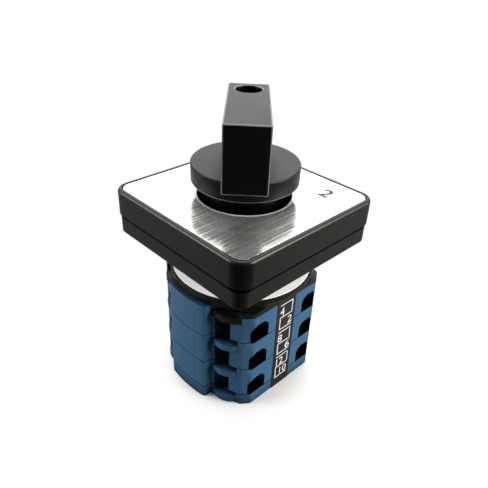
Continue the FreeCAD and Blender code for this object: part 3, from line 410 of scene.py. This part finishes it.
def brushed_aluminium():
    """Brushed aluminium sheet: strokes along Y, nearly white, with a painted highlight round its
    hole: a pale, less metallic ring for the shine of its rolled edge.
    """
    material = brushed("brushed_aluminium", linear("#F4F4F3"), roughness=0.19, stroke_mm=0.6,
                       direction=1, depth_mm=0.013, contrast=0.12, spread=0.09)
    tree, shader, place, _ = parts_of(material)
    flat = add(tree, "ShaderNodeVectorMath", {0: place, 1: (1, 1, 0)}, operation="MULTIPLY")
    reach = add(tree, "ShaderNodeVectorMath", {0: flat}, operation="LENGTH")
    # painted highlight: less metal up to the ring's radius, so that it shows pale
    highlight_ring = add(tree, "ShaderNodeMapRange", {"Value": reach.outputs["Value"]},
              From_Min=HIGHLIGHT_RING_FROM_MM * MM, From_Max=HIGHLIGHT_RING_TO_MM * MM, To_Min=0.25, To_Max=0.86)
    tree.links.new(highlight_ring.outputs[0], shader.inputs["Metallic"])
    return material


def zinc_plate():
    """Bright zinc on steel: cool, slightly hazy shine."""
    return brushed("zinc_plated_steel", linear("#C9CBCD"), roughness=0.28, stroke_mm=0.3,
                   direction=2, depth_mm=0.002, contrast=0.06)


def drawn_steel():
    """Cold-drawn steel bar: faint lines along its length."""
    return brushed("drawn_steel", linear("#A9A9A6"), roughness=0.33, stroke_mm=0.25, direction=2)


def tinned_brass():
    """Rolled brass with a worn tin finish: pale gold."""
    return brushed("tinned_brass", linear("#CDB884"), roughness=0.3, stroke_mm=0.3,
                   direction=0, depth_mm=0.002, contrast=0.06)


def spring_steel():
    """Drawn spring wire: dull grey shine."""
    return brushed("spring_steel", linear("#9C9C9B"), roughness=0.36, stroke_mm=0.2,
                   direction=1, depth_mm=0.002, contrast=0.05)


MATERIALS = {}


def finish(make):
    """The material that a function makes, made once."""
    if make not in MATERIALS:
        MATERIALS[make] = make()
    return MATERIALS[make]


# Mesh helpers

def new_piece(name, mesh, body, slot, *materials):
    """Link a finished mesh at the origin as a piece that rides on a body, or on none yet."""
    piece = bpy.data.objects.new(name, mesh)
    bpy.context.scene.collection.objects.link(piece)
    mesh.materials.clear()
    for material in materials:
        mesh.materials.append(material)
    if body:
        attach(piece, body)
    return piece


def smooth(mesh, angle=32.0):
    """Round faces shade smooth, and edges sharper than the angle stay crisp."""
    mesh.shade_smooth()
    mesh.set_sharp_from_angle(angle=math.radians(angle))


def baked(piece):
    """Turn a piece's modifiers into plain mesh."""
    graph = bpy.context.evaluated_depsgraph_get()
    mesh = bpy.data.meshes.new_from_object(piece.evaluated_get(graph))
    piece.modifiers.clear()
    old = piece.data
    piece.data = mesh
    bpy.data.meshes.remove(old)


def split_flats(mesh):
    """Join flat areas and cut them into convex faces again, as a bevel folds the thinnest over."""
    rounds = 4
    folded_back = 3.0    # radians between faces that lie back on each other
    form = bmesh.new()
    form.from_mesh(mesh)
    for _ in range(rounds):
        folded = [edge for edge in form.edges if edge.calc_face_angle(0.0) > folded_back]
        bmesh.ops.dissolve_edges(form, edges=folded, use_verts=False, use_face_split=False)
        form.normal_update()
        bmesh.ops.dissolve_limit(form, angle_limit=math.radians(0.1), verts=form.verts,
                                 edges=form.edges, delimit={"MATERIAL"})
        bmesh.ops.connect_verts_concave(form, faces=form.faces)
        form.normal_update()
    form.to_mesh(mesh)
    form.free()


def soft_edged(node, body, slot, radius, materials, least_angle=38.0, steps=2, edge_slot=0,
               clamped=True, flats_joined=True):
    """Copy of a moulded piece with its edges rounded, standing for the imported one."""
    mesh = frame["nodes"][node].data.copy()
    form = bmesh.new()
    form.from_mesh(mesh)
    bmesh.ops.remove_doubles(form, verts=form.verts, dist=0.002 * MM)
    bmesh.ops.dissolve_limit(form, angle_limit=math.radians(0.6), verts=form.verts,
                             edges=form.edges)
    bmesh.ops.connect_verts_concave(form, faces=form.faces)
    form.to_mesh(mesh)
    form.free()
    mesh.name = node + "_finished"
    smooth(mesh)
    piece = new_piece(node + "_finished", mesh, body, slot, *materials)
    bevel = piece.modifiers.new("edges", "BEVEL")
    bevel.width = radius
    bevel.segments = steps
    bevel.limit_method = "ANGLE"
    bevel.angle_limit = math.radians(least_angle)
    bevel.use_clamp_overlap = clamped
    bevel.material = edge_slot
    bevel.miter_outer = "MITER_ARC"
    bevel.loop_slide = False
    baked(piece)
    if flats_joined:
        split_flats(piece.data)
    flats = piece.modifiers.new("flats", "WEIGHTED_NORMAL")
    flats.weight = 100
    flats.keep_sharp = True
    baked(piece)
    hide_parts(node)


def paint_node(node, material):
    """Give a carried-over solid its finish."""
    mesh = frame["nodes"][node].data
    mesh.materials.clear()
    mesh.materials.append(material)
    smooth(mesh)


# Geometry node trees

class Tree:
    """Small geometry node tree with named inputs."""

    def __init__(self, name):
        self.group = bpy.data.node_groups.new(name, "GeometryNodeTree")
        for way in ("OUTPUT", "INPUT"):
            self.group.interface.new_socket("Geometry", in_out=way,
                                            socket_type="NodeSocketGeometry")
        self.inputs = self.group.nodes.new("NodeGroupInput")
        self.identifiers = {}

    def size(self, name):
        """New input for a size, as a socket."""
        socket = self.group.interface.new_socket(name, in_out="INPUT",
                                                 socket_type="NodeSocketFloat")
        self.identifiers[name] = socket.identifier
        return self.inputs.outputs[name]

    def add(self, kind, inputs=None, **fields):
        return add(self.group, kind, inputs, **fields)

    def moved(self, geometry, size, share):
        """Geometry moved along Z by a share of a size."""
        distance = self.add("ShaderNodeMath", {0: size, 1: share}, operation="MULTIPLY")
        shift = self.add("ShaderNodeCombineXYZ", {"Z": distance})
        return self.add("GeometryNodeTransform", {"Geometry": geometry, "Translation": shift})

    def close(self, geometry, material):
        """Realize the instances, set the material and join the output."""
        real = self.add("GeometryNodeRealizeInstances", {"Geometry": geometry})
        painted = self.add("GeometryNodeSetMaterial", {"Geometry": real}, Material=material)
        self.add("NodeGroupOutput", {0: painted})

    def run(self, name, body, slot, material, points=(), **values):
        """One plain mesh of the tree's result on the given points, riding on a body if given."""
        mesh = bpy.data.meshes.new(name)
        mesh.from_pydata(points, [], [])
        carrier = bpy.data.objects.new(name + "_tree", mesh)
        bpy.context.scene.collection.objects.link(carrier)
        modifier = carrier.modifiers.new("tree", "NODES")
        modifier.node_group = self.group
        for label, value in values.items():
            modifier[self.identifiers[label]] = value
        graph = bpy.context.evaluated_depsgraph_get()
        result = bpy.data.meshes.new_from_object(carrier.evaluated_get(graph))
        result.name = name
        bpy.data.objects.remove(carrier)
        bpy.data.meshes.remove(mesh)
        return new_piece(name, result, body, slot, material)


def coil_tree(material):
    """Compression spring: round wire swept along a helix that runs along Z."""
    tree = Tree("coil")
    turns, radius, wire, length = (
        tree.size(name) for name in ("turns", "radius", "wire", "length"))
    helix = tree.add("GeometryNodeCurveSpiral", Resolution=20, inputs={
        "Rotations": turns, "Start Radius": radius, "End Radius": radius, "Height": length})
    section = tree.add("GeometryNodeCurvePrimitiveCircle", {"Radius": wire}, Resolution=8)
    swept = tree.add("GeometryNodeCurveToMesh", {"Curve": helix, "Profile Curve": section},
                     Fill_Caps=True)
    shaded = tree.add("GeometryNodeSetShadeSmooth", {"Geometry": swept})
    tree.close(shaded, material)
    return tree


def screw_tree(material):
    """Screws on points at both sides: round head with a cross recess, shank to the middle."""
    tree = Tree("screws")
    head_radius, head_height, recess_width, recess_depth, shank_radius, shank_length = (
        tree.size(name) for name in ("head_radius", "head_height", "recess_width",
                                     "recess_depth", "shank_radius", "shank_length"))
    bar_length = 1.3            # of the head's radius
    second_bar = (1, 1, 0.95)   # a little shallower, so that the cut leaves no stray face
    head = tree.add("GeometryNodeMeshCylinder",
                    {"Radius": head_radius, "Depth": head_height}, Vertices=32)
    head_set = tree.moved(head, head_height, -0.5)
    length = tree.add("ShaderNodeMath", {0: head_radius, 1: bar_length}, operation="MULTIPLY")
    depth = tree.add("ShaderNodeMath", {0: recess_depth, 1: 2.0}, operation="MULTIPLY")
    size = tree.add("ShaderNodeCombineXYZ", {"X": length, "Y": recess_width, "Z": depth})
    bar = tree.add("GeometryNodeMeshCube", {"Size": size})
    crossing = tree.add("GeometryNodeTransform", {"Geometry": bar},
                        Rotation=(0, 0, math.pi / 2), Scale=second_bar)
    slotted = tree.add("GeometryNodeMeshBoolean", {"Mesh 1": head_set}, operation="DIFFERENCE")
    for cutter in (bar, crossing):
        tree.group.links.new(cutter.outputs[0], slotted.inputs["Mesh 2"])
    shank = tree.add("GeometryNodeMeshCylinder",
                     {"Radius": shank_radius, "Depth": shank_length}, Vertices=24)
    shank_set = tree.moved(shank, shank_length, -0.5)
    shank_under = tree.moved(shank_set, head_height, -1.0)
    screw = tree.add("GeometryNodeJoinGeometry")
    for piece in (slotted, shank_under):
        tree.group.links.new(piece.outputs[0], screw.inputs[0])
    place = tree.add("ShaderNodeSeparateXYZ", {0: tree.add("GeometryNodeInputPosition")})
    side = tree.add("ShaderNodeMath", {0: place.outputs["X"]}, operation="SIGN")
    lean = tree.add("ShaderNodeMath", {0: side, 1: math.pi / 2}, operation="MULTIPLY")
    aim = tree.add("ShaderNodeCombineXYZ", {"Y": lean})
    spots = tree.add("GeometryNodeMeshToPoints", {"Mesh": tree.inputs.outputs["Geometry"]})
    placed = tree.add("GeometryNodeInstanceOnPoints",
                      {"Points": spots, "Instance": screw, "Rotation": aim})
    tree.close(placed, material)
    return tree


# Pieces

class SWITCH_OT_housing(bpy.types.Operator):
    """Bezel, base plate and mechanism housing with rounded edges"""
    bl_idname = "switch.housing"
    bl_label = "Housing"

    def execute(self, context):
        edge = settings().frame_edge
        plastic = finish(black_abs)
        soft_edged("bezel", BODY, "black_plastic", edge, [plastic], steps=3)
        soft_edged("base_plate", BODY, "black_plastic", edge, [plastic], steps=3)
        soft_edged("mechanism_housing", BODY, "black_plastic", settings().deck_edge, [plastic],
                   flats_joined=False)
        return {"FINISHED"}


class SWITCH_OT_handle(bpy.types.Operator):
    """Handle with painted highlights on its rounded edges"""
    bl_idname = "switch.handle"
    bl_label = "Handle"

    def execute(self, context):
        # the rounded edges take the painted highlight
        soft_edged("handle", ROTOR, "black_plastic", settings().handle_edge,
                   [finish(handle_abs), finish(worn_edge)], edge_slot=1, clamped=False,
                   least_angle=60.0)
        return {"FINISHED"}


class SWITCH_OT_decks(bpy.types.Operator):
    """Contact decks and end cover with rounded edges"""
    bl_idname = "switch.decks"
    bl_label = "Decks"

    def execute(self, context):
        for node in DECKS + ("end_cover",):
            soft_edged(node, BODY, "blue_plastic", settings().deck_edge, [finish(blue_nylon)])
        return {"FINISHED"}


class SWITCH_OT_sheets(bpy.types.Operator):
    """Nameplate and rating disc, with broken edges, and the marking strips"""
    bl_idname = "switch.sheets"
    bl_label = "Sheet Parts"

    def execute(self, context):
        edge = settings().sheet_edge
        soft_edged("nameplate", BODY, "brushed_aluminium", edge, [finish(brushed_aluminium)])
        soft_edged("rating_disc", BODY, "brushed_aluminium", edge / 2, [finish(silvered_film)])
        for node in ("marking_strip_even", "marking_strip_odd"):
            paint_node(node, finish(black_vinyl))
        return {"FINISHED"}


class SWITCH_OT_metal(bpy.types.Operator):
    """Finishes of the carried-over inner pieces"""
    bl_idname = "switch.metal"
    bl_label = "Inner Pieces"

    def execute(self, context):
        slots = {
            "contact_brass": tinned_brass, "spring_steel": spring_steel,
            "zinc_plated_steel": zinc_plate, "shaft_steel": drawn_steel,
            "inner_plastic": natural_nylon,
        }
        for part in frame["record"]["subparts"]:
            if part["material_slot"] in slots:
                paint_node(part["node"], finish(slots[part["material_slot"]]))
        return {"FINISHED"}


def printed_text(name, text, height, place, ink, bend=Matrix.Identity(4), width=None,
                 weight=0.0):
    """Number as a thin film of ink, centred at a place; bend turns it onto its sheet."""
    curve = bpy.data.curves.new(name, "FONT")
    curve.body = text
    curve.align_x = "CENTER"
    curve.align_y = "CENTER"
    curve.offset = weight
    source = bpy.data.objects.new(name + "_text", curve)
    bpy.context.scene.collection.objects.link(source)
    graph = bpy.context.evaluated_depsgraph_get()
    mesh = bpy.data.meshes.new_from_object(source.evaluated_get(graph))
    bpy.data.objects.remove(source)
    low = min(v.co.y for v in mesh.vertices)
    high = max(v.co.y for v in mesh.vertices)
    left = min(v.co.x for v in mesh.vertices)
    right = max(v.co.x for v in mesh.vertices)
    scale = height / (high - low)
    across = width / (right - left) if width else scale
    centre = Matrix.Translation((-(left + right) / 2, -(low + high) / 2, 0.0))
    size = Matrix.Diagonal((across, scale, scale, 1))
    mesh.transform(Matrix.Translation(place) @ bend @ size @ centre)
    form = bmesh.new()
    form.from_mesh(mesh)
    normal = bend.to_3x3() @ Vector((0, 0, 1))
    top = bmesh.ops.extrude_face_region(form, geom=form.faces[:])
    moved = [item for item in top["geom"] if isinstance(item, bmesh.types.BMVert)]
    bmesh.ops.translate(form, verts=moved, vec=normal * settings().print_height)
    bmesh.ops.recalc_face_normals(form, faces=form.faces)
    form.to_mesh(mesh)
    form.free()
    new_piece(name, mesh, BODY, "strip_plastic", ink)


class SWITCH_OT_positions(bpy.types.Operator):
    """Position numbers on the nameplate"""
    bl_idname = "switch.positions"
    bl_label = "Position Numbers"

    def execute(self, context):
        ink = screen_ink("dark_screen_ink", linear("#1E2021"))
        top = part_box("nameplate")[1].z
        for text, x, y in POSITIONS_MM:
            printed_text("position_" + text, text, settings().plate_figure,
                         (x * MM, y * MM, top), ink, weight=0.02)
        return {"FINISHED"}


def film_box(form, centre, half):
    """Thin box of ink added to a bmesh."""
    made = bmesh.ops.create_cube(form, size=1.0)
    for vert in made["verts"]:
        vert.co = Vector([c + 2 * h * v for c, h, v in zip(centre, half, vert.co)])


class SWITCH_OT_terminal_numbers(bpy.types.Operator):
    """Stepped white lines and terminal numbers on the two strips"""
    bl_idname = "switch.terminal_numbers"
    bl_label = "Terminal Numbers"

    def execute(self, context):
        ink = screen_ink("white_screen_ink", settings().paint_white)
        half_line = settings().line_width / 2
        film = settings().print_height
        reach = STRIP_REACH_MM * MM
        for strip, side in (("marking_strip_even", 1), ("marking_strip_odd", -1)):
            low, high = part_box(strip)
            face = high.x if side > 0 else low.x
            middle_of_film = face + side * film / 2
            turn = (Matrix.Rotation(math.radians(90 * side), 4, "Z")
                    @ Matrix.Rotation(math.radians(90), 4, "X"))
            form = bmesh.new()
            for row, levels in enumerate(STRIP_LINES_MM):
                for level in levels:
                    film_box(form, (middle_of_film, 0.0, level * MM),
                             (film / 2, reach + half_line, half_line))
                for upper, lower, hand in ((levels[0], levels[1], 1), (levels[1], levels[2], -1)):
                    middle = (upper + lower) / 2 * MM
                    film_box(form, (middle_of_film, side * hand * reach, middle),
                             (film / 2, half_line, (upper - lower) / 2 * MM))
                    number = 4 * row + TERMINALS[side, hand]
                    wide = number > 9
                    inset = (TWO_DIGITS_INSET_MM if wide else ONE_DIGIT_INSET_MM) * MM
                    place = (face, -side * hand * (reach - inset), middle - NUMBER_DROP_MM * MM)
                    width_mm = FIGURE_WIDTHS_MM.get(
                        number, TWO_DIGITS_MM if wide else ONE_DIGIT_MM)
                    printed_text(f"terminal_{number}", str(number), settings().strip_figure,
                                 place, ink, turn, width_mm * MM)
            mesh = bpy.data.meshes.new(strip + "_lines")
            form.to_mesh(mesh)
            form.free()
            new_piece(strip + "_lines", mesh, BODY, "strip_plastic", ink)
        return {"FINISHED"}


class SWITCH_OT_screws(bpy.types.Operator):
    """Terminal screws with a cross recess"""
    bl_idname = "switch.screws"
    bl_label = "Terminal Screws"

    def execute(self, context):
        low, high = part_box("terminal_screws")
        head = settings().screw_head
        levels = [low.z + head, (low.z + high.z) / 2, high.z - head]
        points = [(side * high.x, across * (high.y - head), level)
                  for side in (-1, 1) for across in (-1, 1) for level in levels]
        piece = screw_tree(finish(zinc_plate)).run(
            "terminal_screws_finished", BODY, "zinc_plated_steel", finish(zinc_plate), points,
            head_radius=head, head_height=2.2 * MM, recess_width=0.9 * MM,
            recess_depth=settings().recess_depth, shank_radius=1.75 * MM, shank_length=8.0 * MM)
        smooth(piece.data)
        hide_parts("terminal_screws")
        return {"FINISHED"}


class SWITCH_OT_springs(bpy.types.Operator):
    """Contact springs as full coils, held at the wall and pushed by their contact"""
    bl_idname = "switch.springs"
    bl_label = "Contact Springs"

    def execute(self, context):
        wire = 0.27 * MM
        tree = coil_tree(finish(spring_steel))
        for first, second in CONTACT_PAIRS:
            node = f"contact_spring_{first}_{second}"
            low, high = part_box(node)
            side = 1 if low.y > 0 else -1
            wall, bridge = (high.y, low.y) if side > 0 else (low.y, high.y)
            piece = tree.run(node + "_coil", None, "spring_steel", finish(spring_steel),
                             turns=float(settings().spring_turns),
                             radius=(high.x - low.x) / 2 - wire, wire=wire,
                             length=high.y - low.y - 2 * wire)
            piece.data.transform(
                Matrix.Translation((0.0, bridge + side * wire, (low.z + high.z) / 2))
                @ Matrix.Rotation(math.radians(-90 * side), 4, "X"))
            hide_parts(node)
            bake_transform(piece)
        return {"FINISHED"}


# Stage

class SWITCH_OT_stage(bpy.types.Operator):
    """Pale floor, soft lamps and the camera"""
    bl_idname = "switch.stage"
    bl_label = "Stage"

    def execute(self, context):
        make_floor()
        make_world()
        make_lamps()
        make_camera()
        context.scene.view_settings.view_transform = "Standard"
        return {"FINISHED"}


def make_camera():
    """Camera from the photograph: 45 degrees to the front edge and 32 degrees above it."""
    turn, rise, roll = (math.radians(angle) for angle in (44.629, 32.173, 2.602))
    place_mm = Vector((111.82, -112.36, 151.76))
    camera = bpy.data.cameras.new("camera")
    camera.lens = 38.293
    camera.sensor_width = 36.0
    camera.clip_start = 0.01
    holder = bpy.data.objects.new("camera", camera)
    bpy.context.scene.collection.objects.link(holder)
    holder.matrix_world = (
        Matrix.Translation(place_mm * MM)
        @ Matrix.Rotation(turn, 4, "Z")
        @ Matrix.Rotation(math.pi / 2 - rise, 4, "X")
        @ Matrix.Rotation(roll, 4, "Z"))
    bpy.context.scene.camera = holder


def make_floor():
    """White floor with the object's shadow; unseen, a dark card lies on its front part."""
    bpy.ops.mesh.primitive_circle_add(vertices=64, radius=6.0, fill_type="NGON",
                                      location=(0, 0, 0))
    floor = bpy.context.object
    floor.name = "floor"
    material = bpy.data.materials.new("studio_floor")
    tree = cleared(material)
    shadow_middle = (0.004, 0.002, 0)
    towards_camera = (0.707, -0.707, 0)
    felt_grey, card_grey, floor_white = ((grey, grey, grey, 1.0) for grey in (0.18, 0.01, 0.95))
    seen = add(tree, "ShaderNodeLightPath").outputs["Is Camera Ray"]
    place = add(tree, "ShaderNodeTexCoord").outputs["Object"]
    distance = add(tree, "ShaderNodeVectorMath", {0: place, 1: shadow_middle},
                   operation="DISTANCE")
    fade = add(tree, "ShaderNodeMapRange", {"Value": distance.outputs["Value"]},
               From_Min=0.024, From_Max=0.037, interpolation_type="SMOOTHSTEP")
    forward = add(tree, "ShaderNodeVectorMath", {0: place, 1: towards_camera},
                  operation="DOT_PRODUCT")
    card = add(tree, "ShaderNodeMapRange", {"Value": forward.outputs["Value"]},
               From_Min=0.03, From_Max=0.10, interpolation_type="SMOOTHSTEP")
    unseen = add(tree, "ShaderNodeMix", data_type="RGBA",
                 inputs={0: card, MIX_FIRST: felt_grey, MIX_SECOND: card_grey})
    shade = add(tree, "ShaderNodeMix", data_type="RGBA", inputs={
        0: seen, MIX_FIRST: unseen.outputs[MIX_RESULT], MIX_SECOND: floor_white})
    lit = add(tree, "ShaderNodeBsdfDiffuse", {"Color": shade.outputs[MIX_RESULT]})
    white = add(tree, "ShaderNodeEmission", Color=(1, 1, 1, 1), Strength=1.0)
    share = add(tree, "ShaderNodeMath", {0: fade, 1: seen}, operation="MULTIPLY")
    mixed = add(tree, "ShaderNodeMixShader", {0: share, 1: lit, 2: white})
    add(tree, "ShaderNodeOutputMaterial", {"Surface": mixed})
    floor.data.materials.append(material)


def make_world():
    """White for the camera; for light a bright sky behind the object, dim in front."""
    world = bpy.data.worlds.new("studio")
    bpy.context.scene.world = world
    tree = cleared(world)
    rays = add(tree, "ShaderNodeLightPath")
    direction = add(tree, "ShaderNodeTexCoord").outputs["Generated"]
    bright_side = Vector((-0.58, 0.58, 0.57)).normalized()
    facing = add(tree, "ShaderNodeVectorMath", {0: direction, 1: bright_side},
                 operation="DOT_PRODUCT")
    level = add(tree, "ShaderNodeMapRange", {"Value": facing.outputs["Value"]}, From_Min=0.25,
                From_Max=0.95, To_Min=0.06, To_Max=1.8, interpolation_type="SMOOTHSTEP")
    soft = add(tree, "ShaderNodeBackground", {"Strength": level}, Color=(0.96, 1.0, 0.95, 1))
    white = add(tree, "ShaderNodeBackground", Color=(1, 1, 1, 1), Strength=1.0)
    mixed = add(tree, "ShaderNodeMixShader",
                {0: rays.outputs["Is Camera Ray"], 1: soft, 2: white})
    add(tree, "ShaderNodeOutputWorld", {"Surface": mixed})


def make_lamps():
    """Overhead softbox, a warm key lamp at the camera's right and a weaker one at its left."""
    target = Vector((0, 0, 0.05))
    for name, place, width, power, tint in (
        ("overhead", (-0.1, 0.1, 0.8), 0.6, 5.0, (1, 1, 1)),
        ("right", (0.76, 0.45, 0.35), 0.5, 11.5, (1, 0.93, 0.88)),
        ("left", (-0.58, -0.72, 0.35), 0.5, 6.4, (1, 1, 1)),
    ):
        lamp = bpy.data.lights.new(name, "AREA")
        lamp.shape = "SQUARE"
        lamp.size = width
        lamp.energy = power
        lamp.color = tint
        holder = bpy.data.objects.new(name, lamp)
        bpy.context.scene.collection.objects.link(holder)
        aim = (target - Vector(place)).to_track_quat("-Z", "Y")
        holder.matrix_world = Matrix.Translation(place) @ aim.to_matrix().to_4x4()


class SWITCH_PT_panel(bpy.types.Panel):
    """Sizes, colours and steps of the switch"""
    bl_label = "Cam Switch"
    bl_idname = "SWITCH_PT_panel"
    bl_space_type = "VIEW_3D"
    bl_region_type = "UI"
    bl_category = "Cam Switch"

    def draw(self, context):
        for name in SwitchSettings.__annotations__:
            self.layout.prop(context.scene.cam_switch, name)
        for operator in OPERATORS:
            self.layout.operator(operator.bl_idname)


OPERATORS = (
    SWITCH_OT_housing, SWITCH_OT_handle, SWITCH_OT_decks, SWITCH_OT_sheets, SWITCH_OT_metal,
    SWITCH_OT_positions, SWITCH_OT_terminal_numbers, SWITCH_OT_screws, SWITCH_OT_springs,
    SWITCH_OT_stage,
)
CLASSES = (SwitchSettings,) + OPERATORS + (SWITCH_PT_panel,)


def register():
    for item in CLASSES:
        bpy.utils.register_class(item)
    bpy.types.Scene.cam_switch = bpy.props.PointerProperty(type=SwitchSettings)


def unregister():
    del bpy.types.Scene.cam_switch
    for item in reversed(CLASSES):
        bpy.utils.unregister_class(item)


def main():
    register()
    for operator in OPERATORS:
        group, name = operator.bl_idname.split(".")
        getattr(getattr(bpy.ops, group), name)()


if __name__ == "__main__":
    main()
